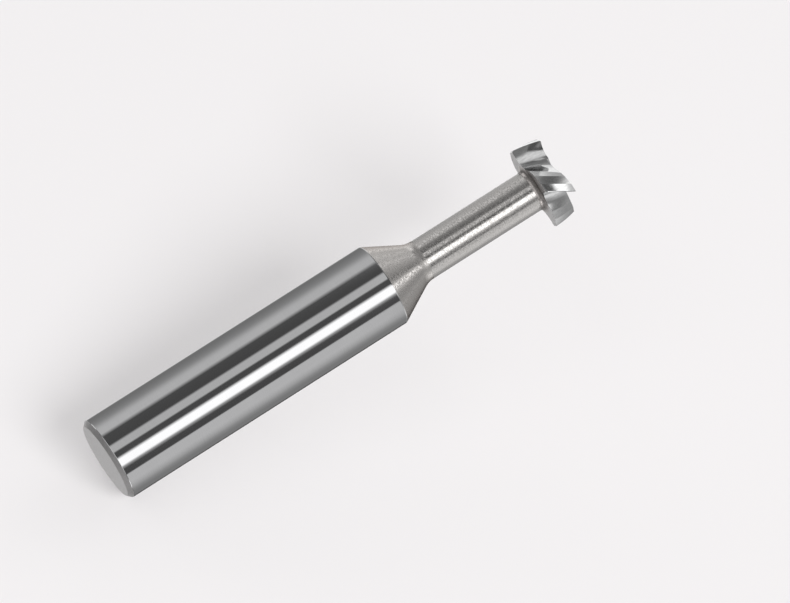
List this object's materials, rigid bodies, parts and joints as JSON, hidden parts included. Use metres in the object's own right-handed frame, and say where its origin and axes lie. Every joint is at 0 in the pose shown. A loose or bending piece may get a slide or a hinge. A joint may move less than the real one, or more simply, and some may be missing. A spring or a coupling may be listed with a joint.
{
  "type": "t slot cutter",
  "caption": "Solid milling cutter with a plain round shank, a tapering neck and a short toothed head that cuts the wide lower part of a T slot",
  "frame": {"origin": "centre of the flat shank end, on which the cutter stands", "axes": "+Z runs along the axis from the shank end to the cutting end; +X passes through the rear corner of one tooth"},
  "size_m": [0.01, 0.01, 0.0607],
  "materials": {
    "ground_carbide": "polished shank, ground neck and teeth"
  },
  "bodies": {
    "root": {"cutter": "ground_carbide"}
  },
  "joints": []
}
